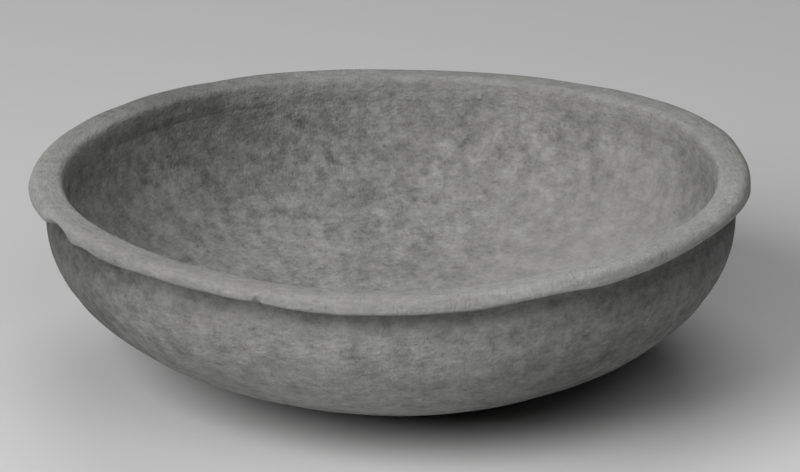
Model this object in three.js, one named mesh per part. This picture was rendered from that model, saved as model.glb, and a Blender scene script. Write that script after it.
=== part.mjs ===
import * as THREE from 'three';

// A shallow hand-built earthenware bowl, in millimetres, +Z up.
// It stands on Z = 0 with its axis on Z. A floor disc, three courses of wall and a coil for the rim
// are luted together: between each two of them lies a thin film of slip.

// Overall sizes
const rimDiameter = 250;
const bowlHeight = 72;
const baseDiameter = 92;

// Rim coil
const rimWidth = 12;
const rimDepth = 6.5;
const lipOverhang = 5.5;
const lipRoundness = 0.3;
const outerEdgeDrop = 4.2;
const innerEdgeDrop = 3;
const rimSeatDepth = 9.6;
const rimSeatCrown = 1.5;

// Wall and floor
const edgeThickness = 6.4;
const floorThickness = 9;
const thickening = 4;
const shoulderReach = 34.5;
const shoulderFlare = THREE.MathUtils.degToRad(8);
const footReach = 45;
const footSlope = THREE.MathUtils.degToRad(16);

// Luted joints
const luteGap = 0.3;
const discEdgeHeight = 3;
const lowerSeamHeight = 15;
const upperSeamHeight = 37;
const courseLap = 2.5;

// Unevenness of the hand-shaped rim
const rimLean = 1.3;
const rimSaddle = 1.9;
const saddleTurn = THREE.MathUtils.degToRad(-9);
const rimSway = 0.3;
const swayTurn = THREE.MathUtils.degToRad(-15);
const rimRipple = 0.6;
const rippleTurn = THREE.MathUtils.degToRad(39);
const rimOval = 1.6;
const ovalTurn = THREE.MathUtils.degToRad(53);
const rimLobes = 1.15;
const lobesTurn = THREE.MathUtils.degToRad(-50);

// Fineness of the facets
const roundSegments = 72;
const curveSteps = 4;
const wallSteps = 5;

const rimRadius = rimDiameter / 2;
const baseRadius = baseDiameter / 2;
const neck = new THREE.Vector2(rimRadius - lipOverhang, bowlHeight - rimDepth);
const base = new THREE.Vector2(baseRadius, 0);

// The outer line of the wall runs down from the neck, swells a little and turns in to the base.
const outerLine = new THREE.CubicBezierCurve(
  neck,
  new THREE.Vector2(neck.x + shoulderReach * Math.tan(shoulderFlare), neck.y - shoulderReach),
  new THREE.Vector2(base.x + footReach, footReach * Math.tan(footSlope)),
  base,
);

function outerPoint(share) {
  return outerLine.getPoint(share);
}

// The inner line lies one thickness inside the outer one. The clay is thinnest at the top edge of the
// wall and soon gets thicker below it.
function innerPoint(share) {
  const tangent = outerLine.getTangent(share);
  const inward = new THREE.Vector2(tangent.y, -tangent.x);
  const thickened = 1 - (1 - share) ** thickening;
  const thickness = THREE.MathUtils.lerp(edgeThickness, floorThickness, thickened);
  return outerPoint(share).addScaledVector(inward, thickness);
}

// Where a line, followed from its top to its bottom, first comes down to a limit.
function shareWhere(measure, limit) {
  const halvings = 40;
  let above = 0;
  let below = 1;
  for (let i = 0; i < halvings; i += 1) {
    const middle = (above + below) / 2;
    if (measure(middle) > limit) {
      above = middle;
    } else {
      below = middle;
    }
  }
  return (above + below) / 2;
}

function pointsBetween(pointAt, start, end, steps) {
  const points = [];
  for (let i = 0; i <= steps; i += 1) {
    points.push(pointAt(THREE.MathUtils.lerp(start, end, i / steps)));
  }
  return points;
}

// A bevelled joint crosses the wall from its outer to its inner line. The piece above it starts
// one film of slip higher, measured square to the bevel.
function bevelJoint(outerShare, innerShare) {
  const outer = outerPoint(outerShare);
  const inner = innerPoint(innerShare);
  const across = inner.clone().sub(outer).normalize();
  const up = new THREE.Vector2(across.y, -across.x);
  const heightOver = (point) => point.clone().sub(outer).dot(up);
  return {
    below: { outer: outerShare, inner: innerShare },
    above: {
      outer: shareWhere((share) => heightOver(outerPoint(share)), luteGap),
      inner: shareWhere((share) => heightOver(innerPoint(share)), luteGap),
    },
  };
}

// Two courses of wall meet nearly square to it, with the inner edge of the lower one a lap higher.
function courseJoint(seamHeight) {
  const outerShare = shareWhere((share) => outerPoint(share).y, seamHeight);
  const innerHeight = innerPoint(outerShare).y + courseLap;
  return bevelJoint(outerShare, shareWhere((share) => innerPoint(share).y, innerHeight));
}

const discJoint = bevelJoint(shareWhere((share) => outerPoint(share).y, discEdgeHeight), 1);
const lowerJoint = courseJoint(lowerSeamHeight);
const upperJoint = courseJoint(upperSeamHeight);

// The rim coil straddles the rounded top edge of the wall, from the neck down to its inner seam.
const rimSeamShare = shareWhere((share) => innerPoint(share).y, bowlHeight - rimSeatDepth);
const rimSeam = innerPoint(rimSeamShare);
const seatChord = rimSeam.clone().sub(neck);
const seatUp = new THREE.Vector2(seatChord.y, -seatChord.x).normalize();
const seatLine = new THREE.QuadraticBezierCurve(
  neck,
  neck.clone().lerp(rimSeam, 0.5).addScaledVector(seatUp, 2 * rimSeatCrown),
  rimSeam,
);

function wallTopPoint(share) {
  return seatLine.getPoint(share);
}

function coilUndersidePoint(share) {
  const tangent = seatLine.getTangent(share);
  const up = new THREE.Vector2(tangent.y, -tangent.x);
  return wallTopPoint(share).addScaledVector(up, luteGap);
}

// A hand-shaped bowl leans, dips and is not quite round. This grows from the base up to the rim.
function shapeByHand(geometry) {
  const places = geometry.getAttribute('position');
  const place = new THREE.Vector3();
  for (let i = 0; i < places.count; i += 1) {
    place.fromBufferAttribute(places, i);
    const radius = Math.hypot(place.x, place.y);
    const angle = Math.atan2(place.y, place.x);
    const amount = (place.z / bowlHeight) * (radius / rimRadius);
    const wave = (times, height, turn) => height * Math.cos(times * (angle - turn));
    const lift = wave(1, rimLean, 0) + wave(2, rimSaddle, saddleTurn);
    const rise = lift + wave(3, rimSway, swayTurn) + wave(4, rimRipple, rippleTurn);
    const swell = wave(2, rimOval, ovalTurn) + wave(3, rimLobes, lobesTurn);
    place.x += amount * swell * Math.cos(angle);
    place.y += amount * swell * Math.sin(angle);
    place.z += amount * rise;
    places.setXYZ(i, place.x, place.y, place.z);
  }
  geometry.computeVertexNormals();
}

// The section's points run anticlockwise, with the radius to the right and the height upwards.
function turnedPiece(name, section, colour) {
  const geometry = new THREE.LatheGeometry(section, roundSegments);
  geometry.rotateX(Math.PI / 2);
  shapeByHand(geometry);
  const material = new THREE.MeshStandardMaterial({ color: colour, roughness: 0.9, metalness: 0 });
  const piece = new THREE.Mesh(geometry, material);
  piece.name = name;
  return piece;
}

function closed(section) {
  return [...section, section[0].clone()];
}

function makeBaseDisc() {
  const floorEdge = innerPoint(discJoint.below.inner);
  return turnedPiece('base_disc', [
    new THREE.Vector2(0, 0),
    ...pointsBetween(outerPoint, 1, discJoint.below.outer, curveSteps),
    floorEdge,
    new THREE.Vector2(0, floorEdge.y),
  ], 0x8b8985);
}

function makeCourse(name, jointUnder, jointOver, colour) {
  return turnedPiece(name, closed([
    ...pointsBetween(outerPoint, jointUnder.above.outer, jointOver.below.outer, wallSteps),
    ...pointsBetween(innerPoint, jointOver.below.inner, jointUnder.above.inner, wallSteps),
  ]), colour);
}

function makeUpperCourse() {
  return turnedPiece('upper_course', closed([
    ...pointsBetween(outerPoint, upperJoint.above.outer, 0, wallSteps),
    ...pointsBetween(wallTopPoint, 0, 1, curveSteps).slice(1, -1),
    ...pointsBetween(innerPoint, rimSeamShare, upperJoint.above.inner, wallSteps),
  ]), 0x918f8b);
}

function makeRimCoil() {
  const lip = coilUndersidePoint(0);
  const innerSeam = coilUndersidePoint(1);
  const widest = new THREE.Vector2(rimRadius, bowlHeight - outerEdgeDrop);
  const innerEdge = new THREE.Vector2(rimRadius - rimWidth, bowlHeight - innerEdgeDrop);
  const lipCorner = new THREE.Vector2(widest.x, lip.y);
  const lipBend = lip.clone().lerp(widest, 0.5).lerp(lipCorner, lipRoundness);
  const outline = new THREE.Path();
  outline.moveTo(lip.x, lip.y);
  outline.quadraticCurveTo(lipBend.x, lipBend.y, widest.x, widest.y);
  outline.quadraticCurveTo(rimRadius, bowlHeight, rimRadius - rimWidth / 2, bowlHeight);
  outline.quadraticCurveTo(innerEdge.x, bowlHeight, innerEdge.x, innerEdge.y);
  outline.lineTo(innerSeam.x, innerSeam.y);
  return turnedPiece('rim_coil', closed([
    ...outline.getPoints(curveSteps),
    ...pointsBetween(coilUndersidePoint, 1, 0, curveSteps).slice(1, -1),
  ]), 0x97958f);
}

const bowl = new THREE.Group();
bowl.name = 'shallow_bowl';
bowl.add(makeBaseDisc());
bowl.add(makeCourse('lower_course', discJoint, lowerJoint, 0x8d8b87));
bowl.add(makeCourse('middle_course', lowerJoint, upperJoint, 0x8f8d89));
bowl.add(makeUpperCourse());
bowl.add(makeRimCoil());

export default bowl;
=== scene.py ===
import math
from collections import namedtuple

import bpy
import numpy as np
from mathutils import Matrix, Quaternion, Vector


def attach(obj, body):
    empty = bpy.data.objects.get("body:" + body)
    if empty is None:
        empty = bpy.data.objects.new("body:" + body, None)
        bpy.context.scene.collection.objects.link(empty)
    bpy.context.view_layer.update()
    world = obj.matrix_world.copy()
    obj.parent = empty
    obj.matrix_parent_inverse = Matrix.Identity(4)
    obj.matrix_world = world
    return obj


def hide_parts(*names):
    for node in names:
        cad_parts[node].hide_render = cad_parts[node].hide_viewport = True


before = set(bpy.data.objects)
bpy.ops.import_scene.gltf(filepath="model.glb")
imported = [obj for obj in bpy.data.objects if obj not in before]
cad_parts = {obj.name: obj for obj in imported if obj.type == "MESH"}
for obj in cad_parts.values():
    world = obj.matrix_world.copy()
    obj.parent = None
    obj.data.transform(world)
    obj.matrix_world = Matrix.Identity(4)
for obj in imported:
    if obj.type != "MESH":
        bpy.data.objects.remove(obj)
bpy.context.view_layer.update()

# Base disc: the round pat of clay that the bowl was started on, with a bevelled edge for the wall.
# Sandy low-fired earthenware, rubbed flat underneath by standing and smoothed inside by a wet hand.

MM = 0.001
RIM_RADIUS = 125 * MM
BOWL_HEIGHT = 72 * MM
BASE_RADIUS = 46 * MM
LIP_OVERHANG = 5.5 * MM
RIM_DEPTH = 6.5 * MM
NECK = Vector((RIM_RADIUS - LIP_OVERHANG, BOWL_HEIGHT - RIM_DEPTH))
EDGE_THICKNESS = 6.4 * MM
FLOOR_THICKNESS = 9 * MM
THICKENING = 4
SHOULDER_REACH = 34.5 * MM
SHOULDER_FLARE = math.radians(8)
FOOT_REACH = 45 * MM
FOOT_SLOPE = math.radians(16)
DISC_EDGE_HEIGHT = 3 * MM
FLOOR_FILLET = 7 * MM
ROW_SPACING = 0.85 * MM

# The wall's outer line, as radius and height, is one cubic curve from the neck down to the base.
OUTER_LINE = (
    NECK,
    Vector((NECK.x + SHOULDER_REACH * math.tan(SHOULDER_FLARE), NECK.y - SHOULDER_REACH)),
    Vector((BASE_RADIUS + FOOT_REACH, FOOT_REACH * math.tan(FOOT_SLOPE))),
    Vector((BASE_RADIUS, 0.0)),
)


def outer_point(share):
    """A point of the outer line: share 0 is at the neck and share 1 at the base."""
    a, b, c, d = OUTER_LINE
    rest = 1 - share
    return a * rest**3 + b * (3 * rest**2 * share) + c * (3 * rest * share**2) + d * share**3


def outward(share):
    """The way that the outer line faces, away from the clay."""
    a, b, c, d = OUTER_LINE
    rest = 1 - share
    along = (b - a) * rest**2 + (c - b) * (2 * rest * share) + (d - c) * share**2
    return Vector((-along.y, along.x)).normalized()


def inner_point(share):
    """The inside of the wall, one thickness in from the outer line and thinnest at the top."""
    thickened = 1 - (1 - share) ** THICKENING
    thickness = EDGE_THICKNESS + (FLOOR_THICKNESS - EDGE_THICKNESS) * thickened
    return outer_point(share) - outward(share) * thickness


def share_at_height(point_at, height):
    """Where a line that runs down from the neck comes to a height."""
    halvings = 40
    above = 0.0
    below = 1.0
    for _ in range(halvings):
        middle = (above + below) / 2
        if point_at(middle).y > height:
            above = middle
        else:
            below = middle
    return (above + below) / 2


# A piece is drawn as rows, anticlockwise round its section. Each row has its place and the way that it
# faces, the depth of any mark that runs round the bowl there, and how much it belongs to the inside
# of the bowl and to the lower edge of the lip.
Row = namedtuple("Row", "place facing hollow inside lip", defaults=(0.0, 0.0, 0.0))


def hollow_at(place, marks):
    """The depth of the marks at a place. A mark has a middle, a depth and a half width."""
    hollow = 0.0
    for middle, depth, width in marks:
        hollow += depth * math.exp(-((place - middle).length / width) ** 2)
    return hollow


def face_rows(point_at, start, end, marks=()):
    """Rows on the outer or the inner face of the wall, from one share to another."""
    inside = point_at is inner_point
    steps = math.ceil((point_at(end) - point_at(start)).length / ROW_SPACING)
    rows = []
    for i in range(steps + 1):
        share = start + (end - start) * i / steps
        place = point_at(share)
        facing = -outward(share) if inside else outward(share)
        rows.append(Row(place, facing, hollow_at(place, marks), float(inside)))
    return rows


def node(tree, kind, inputs=None, **settings):
    """Adds a node, with its inputs set or linked by name or number."""
    made = tree.nodes.new(kind)
    for name, value in settings.items():
        setattr(made, name, value)
    for key, value in (inputs or {}).items():
        if isinstance(value, bpy.types.NodeSocket):
            tree.links.new(value, made.inputs[key])
        else:
            made.inputs[key].default_value = value
    return made


def calc(tree, operation, *values):
    return node(tree, "ShaderNodeMath", dict(enumerate(values)), operation=operation).outputs[0]


def total(tree, *values):
    running = values[0]
    for value in values[1:]:
        running = calc(tree, "ADD", running, value)
    return running


def product(tree, *values):
    running = values[0]
    for value in values[1:]:
        running = calc(tree, "MULTIPLY", running, value)
    return running


def vector(tree, x, y, z):
    return node(tree, "ShaderNodeCombineXYZ", {0: x, 1: y, 2: z}).outputs[0]


def axes(tree, place):
    return node(tree, "ShaderNodeSeparateXYZ", {0: place}).outputs


def scaled(tree, direction, amount):
    inputs = {"Vector": direction, "Scale": amount}
    return node(tree, "ShaderNodeVectorMath", inputs, operation="SCALE").outputs[0]


def added(tree, first, second):
    return node(tree, "ShaderNodeVectorMath", {0: first, 1: second}, operation="ADD").outputs[0]


NOISE_MIDDLE = 0.5


def uneven(tree, place, size, seed, detail=2.0, roughness=0.5):
    """Noise about zero, with lumps of a size."""
    inputs = {"Vector": place, "W": seed, "Detail": detail, "Roughness": roughness,
              "Scale": calc(tree, "DIVIDE", 1.0, size)}
    made = node(tree, "ShaderNodeTexNoise", inputs, noise_dimensions="4D").outputs[0]
    return calc(tree, "SUBTRACT", made, NOISE_MIDDLE)


def swept(tree, radius, height, across, away, spacing, seed):
    """Noise about zero that is drawn out round the bowl, as a wiping hand leaves it."""
    out = calc(tree, "DIVIDE", radius, spacing)
    up = calc(tree, "DIVIDE", height, spacing)
    inputs = {"Vector": vector(tree, out, up, across), "W": calc(tree, "ADD", away, seed),
              "Scale": 1.0, "Detail": 2.0}
    made = node(tree, "ShaderNodeTexNoise", inputs, noise_dimensions="4D").outputs[0]
    return calc(tree, "SUBTRACT", made, NOISE_MIDDLE)


# Sizes that the pieces share, so that their surfaces run on from one to the next. The rim leans, dips
# and is not quite round, as the clay was shaped by hand. Lip lumps are a share of the rim's radius,
# and wiping turns are how often a wiping mark changes over that length.
HAND_BUILT = {
    "Rim Radius": RIM_RADIUS,
    "Bowl Height": BOWL_HEIGHT,
    "Lean": 1.3 * MM,
    "Saddle": 1.9 * MM,
    "Saddle Turn": math.radians(-9),
    "Sway": 0.3 * MM,
    "Sway Turn": math.radians(-15),
    "Ripple": 0.6 * MM,
    "Ripple Turn": math.radians(39),
    "Oval": 1.6 * MM,
    "Oval Turn": math.radians(53),
    "Lobes": 1.15 * MM,
    "Lobes Turn": math.radians(-50),
    "Lip Waver": 1.2 * MM,
    "Lip Lumps": 0.2,
    "Dent Depth": 1.3 * MM,
    "Dent Size": 28 * MM,
    "Mark Waver": 1.5,
    "Wiping Depth": 0.35 * MM,
    "Wiping Spacing": 6 * MM,
    "Wiping Turns": 2.5,
    "Still Middle": 12 * MM,
    "Pit Depth": 0.45 * MM,
    "Pit Width": 1.3 * MM,
    "Pit Spacing": 8 * MM,
    "Pitted Share": 0.5,
    "Least Pit": 0.01,
    "Seed": 3.0,
}
WELD_DISTANCE = 0.001 * MM
SOFT_BEND = math.radians(50)


def make_building_tree():
    """Carries a section's rows round the axis, then leans, dips, dents, wipes and pits the clay."""
    tree = bpy.data.node_groups.new("hand_built_ring", "GeometryNodeTree")
    tree.interface.new_socket("Section", in_out="INPUT", socket_type="NodeSocketGeometry")
    tree.interface.new_socket("Segments", in_out="INPUT", socket_type="NodeSocketInt")
    tree.interface.new_socket("Clay", in_out="INPUT", socket_type="NodeSocketMaterial")
    for name, value in HAND_BUILT.items():
        socket = tree.interface.new_socket(name, in_out="INPUT", socket_type="NodeSocketFloat")
        socket.default_value = value
    tree.interface.new_socket("Piece", in_out="OUTPUT", socket_type="NodeSocketGeometry")
    given = tree.nodes.new("NodeGroupInput").outputs
    section = given["Section"]

    rows = node(tree, "GeometryNodeAttributeDomainSize", {0: section}).outputs["Point Count"]
    columns = calc(tree, "ADD", given["Segments"], 1)
    inputs = {"Vertices X": columns, "Vertices Y": rows}
    grid = node(tree, "GeometryNodeMeshGrid", inputs).outputs["Mesh"]
    position = node(tree, "GeometryNodeInputPosition").outputs[0]
    spot = axes(tree, position)
    grid_half = 0.5
    angle = product(tree, total(tree, spot["X"], grid_half), math.tau)
    rows_up = product(tree, total(tree, spot["Y"], grid_half), total(tree, rows, -1))
    row = calc(tree, "ROUND", rows_up)

    def from_row(kind, value):
        inputs = {"Geometry": section, "Index": row}
        made = node(tree, "GeometryNodeSampleIndex", inputs, data_type=kind)
        tree.links.new(value, made.inputs["Value"])
        return made.outputs[0]

    def kept(kind, name):
        named = node(tree, "GeometryNodeInputNamedAttribute", {"Name": name}, data_type=kind)
        return from_row(kind, named.outputs[0])

    place = axes(tree, from_row("FLOAT_VECTOR", position))
    facing = axes(tree, kept("FLOAT_VECTOR", "facing"))
    hollow = kept("FLOAT", "hollow")
    lip = kept("FLOAT", "lip")
    across = calc(tree, "COSINE", angle)
    away = calc(tree, "SINE", angle)

    def carried_round(radius, height):
        return vector(tree, product(tree, radius, across), product(tree, radius, away), height)

    def wave(times, name):
        turn = given[name + " Turn"] if times > 1 else 0.0
        phase = product(tree, calc(tree, "SUBTRACT", angle, turn), times)
        return product(tree, calc(tree, "COSINE", phase), given[name])

    round_place = carried_round(place["X"], place["Z"])
    round_facing = carried_round(facing["X"], facing["Z"])
    height_share = calc(tree, "DIVIDE", place["Z"], given["Bowl Height"])
    radius_share = calc(tree, "DIVIDE", place["X"], given["Rim Radius"])
    rise = total(tree, wave(1, "Lean"), wave(2, "Saddle"), wave(3, "Sway"), wave(4, "Ripple"))
    swell = total(tree, wave(2, "Oval"), wave(3, "Lobes"))
    by_hand = scaled(tree, carried_round(swell, rise), product(tree, height_share, radius_share))

    seed = given["Seed"]
    lip_wave = uneven(tree, vector(tree, across, away, 0.0), given["Lip Lumps"], seed)
    waver = vector(tree, 0.0, 0.0, product(tree, lip_wave, lip, given["Lip Waver"]))
    dents = uneven(tree, round_place, given["Dent Size"], seed, detail=1.5)
    along_x = product(tree, across, given["Wiping Turns"])
    along_y = product(tree, away, given["Wiping Turns"])
    wiping = swept(tree, place["X"], place["Z"], along_x, along_y, given["Wiping Spacing"], seed)
    off_middle = calc(tree, "MINIMUM", calc(tree, "DIVIDE", place["X"], given["Still Middle"]), 1.0)
    cells = node(tree, "ShaderNodeTexVoronoi", {
        "Vector": round_place, "Scale": calc(tree, "DIVIDE", 1.0, given["Pit Spacing"]),
    }).outputs
    luck = axes(tree, cells["Color"])["X"]
    pitted = given["Pitted Share"]
    size = calc(tree, "DIVIDE", calc(tree, "SUBTRACT", pitted, luck), pitted)
    width = product(tree, calc(tree, "MAXIMUM", size, given["Least Pit"]), given["Pit Width"])
    from_middle = calc(tree, "DIVIDE", product(tree, cells["Distance"], given["Pit Spacing"]), width)
    bowl_shape = calc(tree, "SUBTRACT", 1.0, calc(tree, "POWER", from_middle, 2.0))
    pits = product(tree, calc(tree, "MAXIMUM", bowl_shape, 0.0), calc(tree, "MAXIMUM", size, 0.0))
    marks = product(tree, hollow, total(tree, product(tree, dents, given["Mark Waver"]), 1.0))
    wiped = product(tree, wiping, off_middle, given["Wiping Depth"])
    raised = total(tree, product(tree, dents, given["Dent Depth"]), wiped)
    sunk = total(tree, product(tree, pits, given["Pit Depth"]), marks)
    relief = scaled(tree, round_facing, calc(tree, "SUBTRACT", raised, sunk))

    shaped = axes(tree, added(tree, added(tree, added(tree, round_place, by_hand), relief), waver))
    final_place = vector(tree, shaped["X"], shaped["Y"], calc(tree, "MAXIMUM", shaped["Z"], 0.0))
    piece = grid
    for name, value in (("inside", kept("FLOAT", "inside")), ("hollow", hollow), ("lip", lip)):
        inputs = {"Geometry": piece, "Name": name, "Value": value}
        piece = node(tree, "GeometryNodeStoreNamedAttribute", inputs, data_type="FLOAT").outputs[0]
    inputs = {"Geometry": piece, "Position": final_place}
    piece = node(tree, "GeometryNodeSetPosition", inputs).outputs[0]
    inputs = {"Geometry": piece, "Distance": WELD_DISTANCE}
    piece = node(tree, "GeometryNodeMergeByDistance", inputs).outputs[0]
    bend = node(tree, "GeometryNodeInputMeshEdgeAngle").outputs[0]
    soft = calc(tree, "LESS_THAN", bend, SOFT_BEND)
    inputs = {"Geometry": piece, "Shade Smooth": soft}
    piece = node(tree, "GeometryNodeSetShadeSmooth", inputs, domain="EDGE").outputs[0]
    piece = node(tree, "GeometryNodeRealizeInstances", {"Geometry": piece}).outputs[0]
    inputs = {"Geometry": piece, "Material": given["Clay"]}
    piece = node(tree, "GeometryNodeSetMaterial", inputs).outputs[0]
    tree.links.new(piece, tree.nodes.new("NodeGroupOutput").inputs["Piece"])
    return tree


building_tree = make_building_tree()


def build_piece(name, rows, clay, segments):
    """Makes one piece of the bowl from the rows of its section."""
    section = bpy.data.meshes.new(name + "_section")
    section.from_pydata([(row.place.x, 0.0, row.place.y) for row in rows], [], [])
    facing = section.attributes.new("facing", "FLOAT_VECTOR", "POINT")
    facings = [axis for row in rows for axis in (row.facing.x, 0.0, row.facing.y)]
    facing.data.foreach_set("vector", facings)
    for label in ("hollow", "inside", "lip"):
        kept = section.attributes.new(label, "FLOAT", "POINT")
        kept.data.foreach_set("value", [getattr(row, label) for row in rows])
    former = bpy.data.objects.new(name + "_former", section)
    bpy.context.scene.collection.objects.link(former)
    building = former.modifiers.new("building", "NODES")
    building.node_group = building_tree
    chosen = {"Segments": segments, "Clay": clay, **HAND_BUILT}
    for socket in building_tree.interface.items_tree:
        if socket.name in chosen:
            building[socket.identifier] = chosen[socket.name]
    shaped = former.evaluated_get(bpy.context.evaluated_depsgraph_get())
    piece = bpy.data.objects.new(name, bpy.data.meshes.new_from_object(shaped))
    piece.data.name = name
    bpy.context.scene.collection.objects.link(piece)
    bpy.data.objects.remove(former)
    bpy.data.meshes.remove(section)
    return piece


# Patches of paler or darker clay: the place and reach of each in millimetres, and how much paler it is.
# Inside they are partly clouds left by the firing and partly painted light and shade.
STAINS_AND_PAINTED_LIGHT_INSIDE = (
    (-2, 104, 37, 14, -0.07),
    (-50, 98, 51, 12, -0.08),
    (-80, 75, 62, 14, -0.08),
    (-31, 107, 54, 12, -0.08),
    (-9, 59, 13, 12, -0.12),
    (12, 66, 16, 10, -0.12),
    (-50, 98, 45, 40, -0.12),
    (105, 10, 45, 30, -0.1),
    (5, 106, 45, 40, -0.08),
    (70, 20, 25, 40, 0.08),
    (-67, 86, 50, 30, -0.15),
    (65, 93, 56, 15, -0.14),
    (105, 34, 57, 14, -0.12),
    (15, 105, 39, 16, 0.12),
    (-45, 55, 19, 40, 0.1),
)
# Outside: a painted shadow at the far left, painted shade at the right and under the front right, and
# painted light on the front and the foot.
PAINTED_LIGHT_AND_SHADE_OUTSIDE = (
    (-112, -50, 48, 52, -0.28),
    (104, -70, 46, 60, -0.1),
    (12, -122, 42, 70, 0.14),
    (-10, -85, 10, 60, 0.12),
    (56, -82, 16, 42, -0.26),
)
# On the rim: paler at the left, right and front right, and darker at the back left.
CLOUDS_ON_RIM = (
    (-122, -20, 70, 60, 0.14),
    (122, -40, 70, 60, 0.18),
    (60, -108, 70, 45, 0.18),
    (-85, 90, 70, 45, -0.3),
)
# Painted shade on the outer face of the lip at the front left.
PAINTED_SHADE_ON_LIP = (
    (-92, -85, 66, 58, -0.3),
)

# A cloud is full up to its core and gone at its edge, in shares of its reach, with a ragged border.
# The lower the spread, the further a cloud on the lip goes up over the rim.
CLOUD_CORE = 0.2
CLOUD_EDGE = 1.3
RAGGED_INSIDE = 1.3
RAGGED_OUTSIDE = 0.8
LIP_CLOUD_SPREAD = 0.35

# The inside was wiped smoothest at the right: the place and reach in millimetres, and the share of
# the grain that is gone.
SMOOTH_PLACE = (74, 28, 25, 80)
SMOOTHING = 0.5

# A grain of sand fades from its middle outwards. About one in eight is pale, and one in seven dark.
GRAIN_FADE = (0.6, 0.2)
PALE_LUCK = (0.8, 0.95)
DARK_LUCK = (0.25, 0.05)

# The look that the pieces share. The band is one level of the outside, paler or, below zero, darker as
# painted shade.
CLAY_TONE = (0.268, 0.266, 0.262, 1.0)
CLAY_LOOK = {
    "Clouding": 0.15,
    "Cloud Size": 60 * MM,
    "Mottle": 1.9,
    "Mottle Inside": 0.3,
    "Mottle Size": 6 * MM,
    "Sand": 0.17,
    "Sand Size": 1.2 * MM,
    "Pale Sand": 0.4,
    "Dark Sand": -0.45,
    "Dust": 1.5,
    "Dust Size": 0.8 * MM,
    "Wiping": 0.08,
    "Wiping Length": 40 * MM,
    "Wiping Spacing": 2.4 * MM,
    "Strokes": 0.55,
    "Stroke Length": 3.5 * MM,
    "Stroke Spacing": 1.4 * MM,
    "Smoked Outside": 0.18,
    "Wall Clouds": 1.0,
    "Rim Clouds": 0.0,
    # Hollow shade is painted shade: it darkens the marks that run round the bowl by their depth.
    "Grime": 0.13,
    "Hollow Shade Depth": 0.6 * MM,
    "Band": 0.0,
    "Band From": 64 * MM,
    "Band To": 70 * MM,
    "Base Roughness": 0.88,
    "Dust Roughness": 0.12,
    "Band Roughness": -0.3,
    "Grit Height": 0.16 * MM,
    "Dust Relief": 1.0,
    "Sand Relief": 0.4,
    "Dark Sand Relief": -1.2,
    "Wiping Relief": 0.7,
    "Stroke Relief": 2.5,
    "Seed": 1.0,
}


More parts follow.
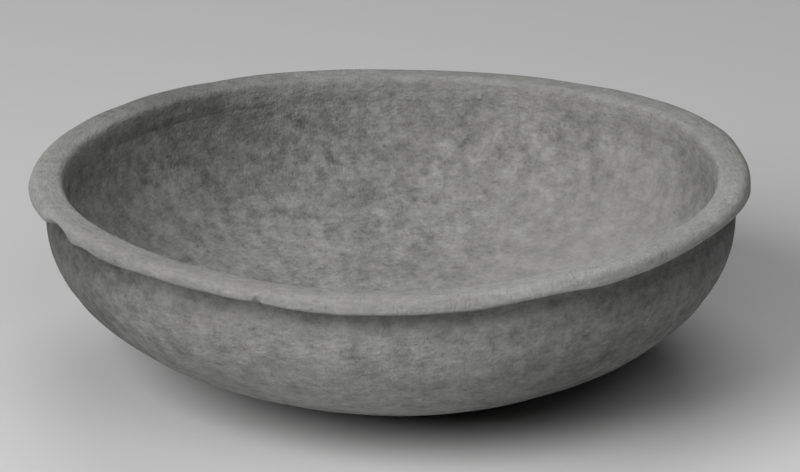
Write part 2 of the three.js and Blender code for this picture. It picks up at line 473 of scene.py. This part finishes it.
def make_clay_look():
    """Colour, roughness and height of sandy, hand-wiped clay, with painted light and shade in the
    colour.
    """
    group = bpy.data.node_groups.new("sandy_clay", "ShaderNodeTree")
    tone = group.interface.new_socket("Tone", in_out="INPUT", socket_type="NodeSocketColor")
    tone.default_value = CLAY_TONE
    for name, value in CLAY_LOOK.items():
        socket = group.interface.new_socket(name, in_out="INPUT", socket_type="NodeSocketFloat")
        socket.default_value = value
    group.interface.new_socket("Color", in_out="OUTPUT", socket_type="NodeSocketColor")
    group.interface.new_socket("Roughness", in_out="OUTPUT", socket_type="NodeSocketFloat")
    group.interface.new_socket("Height", in_out="OUTPUT", socket_type="NodeSocketFloat")
    given = group.nodes.new("NodeGroupInput").outputs
    seed = given["Seed"]
    where = node(group, "ShaderNodeTexCoord").outputs["Object"]
    spot = axes(group, where)
    inside = node(group, "ShaderNodeAttribute", attribute_name="inside").outputs["Fac"]
    hollow = node(group, "ShaderNodeAttribute", attribute_name="hollow").outputs["Fac"]
    lip = node(group, "ShaderNodeAttribute", attribute_name="lip").outputs["Fac"]

    def plus(*values):
        return total(group, *values)

    def times(*values):
        return product(group, *values)

    def ramp(value, low, high):
        inputs = {"Value": value, "From Min": low, "From Max": high}
        return node(group, "ShaderNodeMapRange", inputs, interpolation_type="SMOOTHSTEP").outputs[0]

    clouds = uneven(group, where, given["Cloud Size"], seed)
    mottle = uneven(group, where, given["Mottle Size"], seed, detail=4.0, roughness=0.8)
    mottling = times(mottle, plus(given["Mottle"], times(inside, given["Mottle Inside"])))

    sand_scale = calc(group, "DIVIDE", 1.0, given["Sand Size"])
    sand = node(group, "ShaderNodeTexVoronoi", {"Vector": where, "Scale": sand_scale}).outputs
    luck = axes(group, sand["Color"])["X"]
    grain = ramp(sand["Distance"], *GRAIN_FADE)
    pale_grain = times(grain, ramp(luck, *PALE_LUCK))
    dark_grain = times(grain, ramp(luck, *DARK_LUCK))
    dust = uneven(group, where, given["Dust Size"], seed, roughness=0.7)
    sanding = plus(times(pale_grain, given["Pale Sand"]), times(dark_grain, given["Dark Sand"]),
                   times(dust, given["Dust"]))

    radius = calc(group, "SQRT", plus(times(spot["X"], spot["X"]), times(spot["Y"], spot["Y"])))

    def wiped(length, spacing):
        across = calc(group, "DIVIDE", spot["X"], length)
        away = calc(group, "DIVIDE", spot["Y"], length)
        return swept(group, radius, spot["Z"], across, away, spacing, seed)

    streaks = wiped(given["Wiping Length"], given["Wiping Spacing"])
    strokes = wiped(given["Stroke Length"], given["Stroke Spacing"])

    def cover(x, y, z, reach, ragged):
        inputs = {0: where, 1: Vector((x, y, z)) * MM}
        gap = node(group, "ShaderNodeVectorMath", inputs, operation="DISTANCE").outputs["Value"]
        edge = plus(calc(group, "DIVIDE", gap, reach * MM), times(mottle, ragged))
        return ramp(edge, CLOUD_EDGE, CLOUD_CORE)

    def stains_and_painted_light(places, ragged):
        paler = 0.0
        for *place, change in places:
            paler = plus(paler, times(cover(*place, ragged), change))
        return paler

    outside = calc(group, "SUBTRACT", 1.0, inside)
    # Stains and painted light and shade inside, painted light and shade outside.
    on_wall = plus(times(stains_and_painted_light(STAINS_AND_PAINTED_LIGHT_INSIDE, RAGGED_INSIDE), inside),
                   times(stains_and_painted_light(PAINTED_LIGHT_AND_SHADE_OUTSIDE, RAGGED_OUTSIDE), outside))
    # Painted shade on the lip, reaching up over the rim as the lip share falls.
    lip_share = calc(group, "POWER", lip, LIP_CLOUD_SPREAD)
    on_lip = times(stains_and_painted_light(PAINTED_SHADE_ON_LIP, RAGGED_OUTSIDE), lip_share)
    on_rim = plus(stains_and_painted_light(CLOUDS_ON_RIM, RAGGED_OUTSIDE), on_lip)
    stains_and_painted_light_tone = plus(times(on_wall, given["Wall Clouds"]), times(on_rim, given["Rim Clouds"]),
                 times(outside, given["Smoked Outside"], -1.0))
    # Painted shade in the marks that run round the bowl, the deeper marks darker.
    grime = times(calc(group, "DIVIDE", hollow, given["Hollow Shade Depth"]), given["Grime"])
    # A band below zero is painted shade.
    band = times(ramp(spot["Z"], given["Band From"], given["Band To"]), outside, given["Band"])

    smooth = times(cover(*SMOOTH_PLACE, 0.0), inside, SMOOTHING)
    coarse = calc(group, "SUBTRACT", 1.0, smooth)
    speckle = plus(mottling, times(sanding, given["Sand"]), times(strokes, given["Strokes"]))
    shade = plus(times(clouds, given["Clouding"]), times(streaks, given["Wiping"]),
                 times(speckle, coarse), 1.0)
    stain = times(plus(stains_and_painted_light_tone, band, 1.0), calc(group, "SUBTRACT", 1.0, grime))
    colour = scaled(group, given["Tone"], times(shade, stain))
    rough = plus(times(dust, given["Dust Roughness"]), times(band, given["Band Roughness"]),
                 given["Base Roughness"])
    height = plus(times(dust, given["Dust Relief"]), times(grain, given["Sand Relief"]),
                  times(streaks, given["Wiping Relief"]), times(strokes, given["Stroke Relief"]),
                  times(dark_grain, given["Dark Sand Relief"]))

    result = group.nodes.new("NodeGroupOutput")
    group.links.new(colour, result.inputs["Color"])
    group.links.new(rough, result.inputs["Roughness"])
    group.links.new(times(height, coarse, given["Grit Height"]), result.inputs["Height"])
    return group


clay_look = make_clay_look()


def fired_clay(name, **values):
    """A material of the fired clay, with its own values for the shared look."""
    material = bpy.data.materials.new(name)
    material.use_nodes = True
    tree = material.node_tree
    shader = tree.nodes["Principled BSDF"]
    shader.inputs["Specular IOR Level"].default_value = 0.2
    look = tree.nodes.new("ShaderNodeGroup")
    look.node_tree = clay_look
    for key, value in values.items():
        look.inputs[key.replace("_", " ").title()].default_value = value
    bump = node(tree, "ShaderNodeBump", {"Distance": 1.0, "Height": look.outputs["Height"]})
    tree.links.new(look.outputs["Color"], shader.inputs["Base Color"])
    tree.links.new(look.outputs["Roughness"], shader.inputs["Roughness"])
    tree.links.new(bump.outputs["Normal"], shader.inputs["Normal"])
    return material


def settle(piece, cad_node):
    """The finished piece stands for its CAD node. The bowl is one rigid body."""
    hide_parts(cad_node)
    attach(piece, "root")


def disc_rows(edge_share):
    """Rows out along the underside, up the edge and back over the floor, which dips a little."""
    rows = []
    steps = math.ceil(BASE_RADIUS / ROW_SPACING)
    for i in range(steps):
        rows.append(Row(Vector((BASE_RADIUS * i / steps, 0.0)), Vector((0.0, -1.0))))
    rows += face_rows(outer_point, 1.0, edge_share)
    floor_edge = inner_point(1.0)
    steps = math.ceil(floor_edge.x / ROW_SPACING)
    for i in range(steps + 1):
        radius = floor_edge.x * (1 - i / steps)
        into_fillet = max(0.0, 1 - (floor_edge.x - radius) / FLOOR_FILLET)
        slope = math.tan(FOOT_SLOPE) * into_fillet
        drop = math.tan(FOOT_SLOPE) * FLOOR_FILLET / 2 * (1 - into_fillet**2)
        facing = Vector((-slope, 1.0)).normalized()
        rows.append(Row(Vector((radius, floor_edge.y - drop)), facing, inside=1.0))
    return rows


disc_seam = share_at_height(outer_point, DISC_EDGE_HEIGHT)
disc_clay = fired_clay("disc_clay", band=0.12, band_from=2.5 * MM, band_to=0.0)
disc = build_piece("base_disc_clay", disc_rows(disc_seam), disc_clay, segments=420)
settle(disc, "base_disc")

# Lower course: the first strap of clay, luted on to the bevelled edge of the disc and drawn out into
# the flat curve of the belly. The same sandy clay, with its joints wiped over until they hardly show.

LOWER_SEAM_HEIGHT = 15 * MM
COURSE_LAP = 2.5 * MM
Seam = namedtuple("Seam", "outer inner")


def course_seam(height):
    """Where a joint between two courses meets the faces. Its inner edge is a lap higher."""
    outer = share_at_height(outer_point, height)
    return Seam(outer, share_at_height(inner_point, inner_point(outer).y + COURSE_LAP))


def course_rows(under, over, marks=()):
    """Rows up the outside of a course from its lower joint, down the inside and back."""
    rows = face_rows(outer_point, under.outer, over.outer, marks)
    rows += face_rows(inner_point, over.inner, under.inner, marks)
    return rows + rows[:1]


lower_seam = course_seam(LOWER_SEAM_HEIGHT)
lower_rows = course_rows(Seam(disc_seam, 1.0), lower_seam)
lower = build_piece("lower_course_clay", lower_rows, fired_clay("lower_clay"), segments=640)
settle(lower, "lower_course")

# Middle course: the second strap of the same clay, luted on to the first, which carries the belly up
# and out to half height. Where the upper course was pressed on to it a soft ring still shows, faint
# inside and plainer outside, and its hollow is painted darker as painted shade.

UPPER_SEAM_HEIGHT = 37 * MM
upper_seam = course_seam(UPPER_SEAM_HEIGHT)
UPPER_SEAM_MARKS = (
    (outer_point(upper_seam.outer), 0.16 * MM, 2.2 * MM),
    (inner_point(upper_seam.inner), 0.1 * MM, 2.2 * MM),
)
middle_rows = course_rows(lower_seam, upper_seam, UPPER_SEAM_MARKS)
middle = build_piece("middle_course_clay", middle_rows, fired_clay("middle_clay"), segments=760)
settle(middle, "middle_course")

# Upper course: the third strap of the same clay, which is the nearly upright shoulder. Its top edge was
# rounded to carry the rim coil, and a fingertip that was run round under the lip left a shallow groove
# at the neck. The groove and the outside just under the lip are painted darker, as painted shade of the
# lip.

RIM_SEAT_DEPTH = 10.6 * MM
RIM_SEAT_CROWN = 1.5 * MM
GROOVE_HEIGHT = 62 * MM
groove = outer_point(share_at_height(outer_point, GROOVE_HEIGHT))
rim_seam_share = share_at_height(inner_point, BOWL_HEIGHT - RIM_SEAT_DEPTH)
rim_seam = inner_point(rim_seam_share)
RIM_SEAM_MARKS = (
    (groove, 1.2 * MM, 3.2 * MM),
    (rim_seam, 0.16 * MM, 1.3 * MM),
)


def curve_rows(corners, steps, marks=()):
    """Rows on a soft outline that is drawn in by its corners, with the clay to its left."""
    middles = [(a + b) / 2 for a, b in zip(corners[1:], corners[2:-1])]
    rows = []
    for start, corner, stop in zip([corners[0]] + middles, corners[1:-1], middles + [corners[-1]]):
        for i in range(steps):
            t = i / steps
            place = start * (1 - t)**2 + corner * (2 * t * (1 - t)) + stop * t**2
            along = (corner - start) * (1 - t) + (stop - corner) * t
            facing = Vector((along.y, -along.x)).normalized()
            rows.append(Row(place, facing, hollow_at(place, marks)))
    return rows


seat_chord = rim_seam - NECK
seat_up = Vector((seat_chord.y, -seat_chord.x)).normalized()
seat_corner = (NECK + rim_seam) / 2 + seat_up * (2 * RIM_SEAT_CROWN)
SEAT_STEPS = 5

# No mark goes into the joint between the wall and the rim coil, so its rows face nowhere.
NOWHERE = Vector((0.0, 0.0))
seat_line = curve_rows([NECK, seat_corner, rim_seam], SEAT_STEPS)
seat_rows = [row._replace(facing=NOWHERE) for row in seat_line[1:]]
upper_marks = UPPER_SEAM_MARKS + RIM_SEAM_MARKS
outer_rows = face_rows(outer_point, upper_seam.outer, 0.0, upper_marks)
inner_rows = face_rows(inner_point, rim_seam_share, upper_seam.inner, upper_marks)
upper_rows = outer_rows + seat_rows + inner_rows + outer_rows[:1]


def press(piece, turn, radius, height, reach, push):
    """Pushes the clay round a place, in millimetres. Reach and push go round the bowl, out and up."""
    points = np.empty(len(piece.data.vertices) * 3, dtype=np.float32)
    piece.data.vertices.foreach_get("co", points)
    x, y, z = points.reshape(-1, 3).T / MM
    angle = np.arctan2(y, x)
    swing = (angle - math.radians(turn) + math.pi) % math.tau - math.pi
    away = np.stack((swing * radius, np.hypot(x, y) - radius, z - height))
    share = np.exp(-np.sum((away.T / reach) ** 2, axis=1) ** 2)
    along, out, up = push
    x += share * (out * np.cos(angle) - along * np.sin(angle))
    y += share * (out * np.sin(angle) + along * np.cos(angle))
    z += share * up
    piece.data.vertices.foreach_set("co", np.stack((x, y, z), axis=1).ravel() * MM)
    piece.data.update()


# The neck was squeezed in a little on the left.
NECK_SQUEEZE = (198, 119.8, 58, (30, 6, 9), (0, -0.7, 0))
# Painted shade: the outside is painted darker from 50 mm up to the lip, and its marks darker by depth.
upper_clay = fired_clay("upper_clay", band=-0.15, band_from=50 * MM, band_to=57 * MM, grime=0.06)
upper = build_piece("upper_course_clay", upper_rows, upper_clay, segments=800)
press(upper, *NECK_SQUEEZE)
settle(upper, "upper_course")

# Rim coil: a thick roll of clay pressed down on the wall's rounded edge, flattened with the palm and
# drawn out into an overhanging lip. It is a little paler from 64 mm up, and its edge is nicked and
# uneven.

RIM_CORNERS = [
    NECK,
    Vector((124.85, 65.2)) * MM,
    Vector((124.85, 69.8)) * MM,
    Vector((122.7, 71.9)) * MM,
    Vector((117.6, 71.85)) * MM,
    Vector((113.4, 71.2)) * MM,
    Vector((113.1, 66.6)) * MM,
    rim_seam,
]
RIM_STEPS = 8
LIP_EDGE = Vector((123.4, 66.0)) * MM
LIP_REACH = 3 * MM


def coil_row(row):
    """Adds how much a row of the coil belongs to the inside of the bowl and to the edge of the lip."""
    drop = (BOWL_HEIGHT - row.place.y) / RIM_SEAT_DEPTH
    lip = math.exp(-((row.place - LIP_EDGE).length / LIP_REACH) ** 2)
    return row._replace(inside=drop if row.place.x < NECK.x else 0.0, lip=lip)


coil_rows = [coil_row(row) for row in curve_rows(RIM_CORNERS, RIM_STEPS, RIM_SEAM_MARKS)[1:]]
rim_rows = outer_rows[-1:] + coil_rows + inner_rows[:1] + seat_rows[::-1] + outer_rows[-1:]
rim_clay = fired_clay("rim_clay", band=0.05, mottle=0.75, mottle_inside=1.5, smoked_outside=0.0,
                      wall_clouds=0.0, rim_clouds=1.0)
rim = build_piece("rim_coil_clay", rim_rows, rim_clay, segments=1400)

# Knocks in the lip: turn in degrees, then radius, height, reach and push in millimetres.
LIP_KNOCKS = (
    (251, 124.6, 64.6, (1.2, 3.0, 2.2), (0.0, -0.9, 0.4)),
    (208, 125.6, 66.2, (9.0, 4.5, 3.0), (0.0, -2.0, 1.7)),
    (217, 124.6, 65.4, (6.0, 4.0, 2.0), (0.0, -0.4, 0.5)),
    (301, 124.0, 64.6, (3.5, 3.0, 2.0), (0.0, -0.6, 0.4)),
    (74, 126.0, 66.0, (4.0, 3.0, 2.0), (0.0, -0.9, 0.8)),
    (140, 124.0, 69.0, (2.2, 2.2, 1.6), (0.0, -0.6, 0.3)),
    (240, 124.5, 65.0, (28.0, 3.5, 4.0), (0.0, 0.0, 1.2)),
    (295, 124.5, 65.0, (20.0, 3.5, 4.0), (0.0, 0.0, 1.2)),
    (335, 124.5, 65.0, (48.0, 4.0, 5.2), (0.0, -1.4, 2.4)),
)
for knock in LIP_KNOCKS:
    press(rim, *knock)
press(rim, *NECK_SQUEEZE)

# The rim's inner shoulder was rubbed rounder at the far left, and the lip drawn out at the far right.
RUBBED_SHOULDER = (132, 113.5, 72, (95, 7, 6), (0, 0.6, -1.1))
DRAWN_LIP = (30, 123, 70, (36, 8, 9), (0, 0.9, 0))
press(rim, *RUBBED_SHOULDER)
press(rim, *DRAWN_LIP)
settle(rim, "rim_coil")

# Table: a plain pale board under the bowl, painted dead matt. It only stages the bowl and is no part
# of it.

TABLE_SIZE = 8.0
half = TABLE_SIZE / 2
table_mesh = bpy.data.meshes.new("table")
corners = [(-half, -half, 0.0), (half, -half, 0.0), (half, half, 0.0), (-half, half, 0.0)]
table_mesh.from_pydata(corners, [], [(0, 1, 2, 3)])
table = bpy.data.objects.new("table", table_mesh)
bpy.context.scene.collection.objects.link(table)
table_paint = bpy.data.materials.new("pale_table")
table_paint.use_nodes = True
table_shader = table_paint.node_tree.nodes["Principled BSDF"]
table_shader.inputs["Base Color"].default_value = (0.678, 0.682, 0.678, 1.0)
table_shader.inputs["Roughness"].default_value = 0.95
table_shader.inputs["Specular IOR Level"].default_value = 0.1
table_mesh.materials.append(table_paint)

# Light: a soft key lamp at the front left, a near one at the front right and a weak one behind. Each
# has its turn from +X, its rise, how far off it stands in metres, and its level at the bowl.

LAMPS = {
    "key": (225, 35, 2.0, 0.86),
    "near_right": (285, 45, 0.7, 0.29),
    "behind": (90, 60, 3.0, 0.29),
}
LAMP_WIDTH = math.radians(40)
LAMP_AIM = Vector((0.0, 0.0, 50.0)) * MM
FILL = 0.005
for name, (turn, rise, far, level) in LAMPS.items():
    lamp = bpy.data.lights.new(name, "AREA")
    lamp.shape = "DISK"
    lamp.size = 2 * far * math.tan(LAMP_WIDTH / 2)
    lamp.energy = (math.pi * far) ** 2 * level
    stand = bpy.data.objects.new(name, lamp)
    bpy.context.scene.collection.objects.link(stand)
    around = math.radians(turn)
    above = math.radians(rise)
    flat = math.cos(above)
    shines_from = Vector((flat * math.cos(around), flat * math.sin(around), math.sin(above)))
    stand.location = LAMP_AIM + shines_from * far
    stand.rotation_euler = shines_from.to_track_quat("Z", "Y").to_euler()
fill = bpy.data.worlds.new("fill")
fill.use_nodes = True
fill.node_tree.nodes["Background"].inputs["Color"].default_value = (1.0, 1.0, 1.0, 1.0)
fill.node_tree.nodes["Background"].inputs["Strength"].default_value = FILL
bpy.context.scene.world = fill

# Camera: a long lens from a little above, at the photograph's viewing angle, and rolled a little as the
# photograph is.

CAMERA_DISTANCE = 1.4
CAMERA_RISE = math.radians(21.36)
CAMERA_TURN = math.radians(1.33)
CAMERA_ROLL = math.radians(0.765)
CAMERA_LENS = 178.6
AIM = Vector((2.45, 0.0, 46.85)) * MM
lens = bpy.data.cameras.new("camera")
lens.lens = CAMERA_LENS
lens.sensor_width = 36.0
camera = bpy.data.objects.new("camera", lens)
bpy.context.scene.collection.objects.link(camera)
flat = math.cos(CAMERA_RISE)
stands = Vector((flat * math.sin(CAMERA_TURN), -flat * math.cos(CAMERA_TURN), math.sin(CAMERA_RISE)))
camera.location = stands * CAMERA_DISTANCE
looking = (AIM - camera.location).to_track_quat("-Z", "Y")
camera.rotation_euler = (looking @ Quaternion((0.0, 0.0, 1.0), CAMERA_ROLL)).to_euler()
bpy.context.scene.camera = camera
bpy.context.scene.view_settings.view_transform = "Standard"
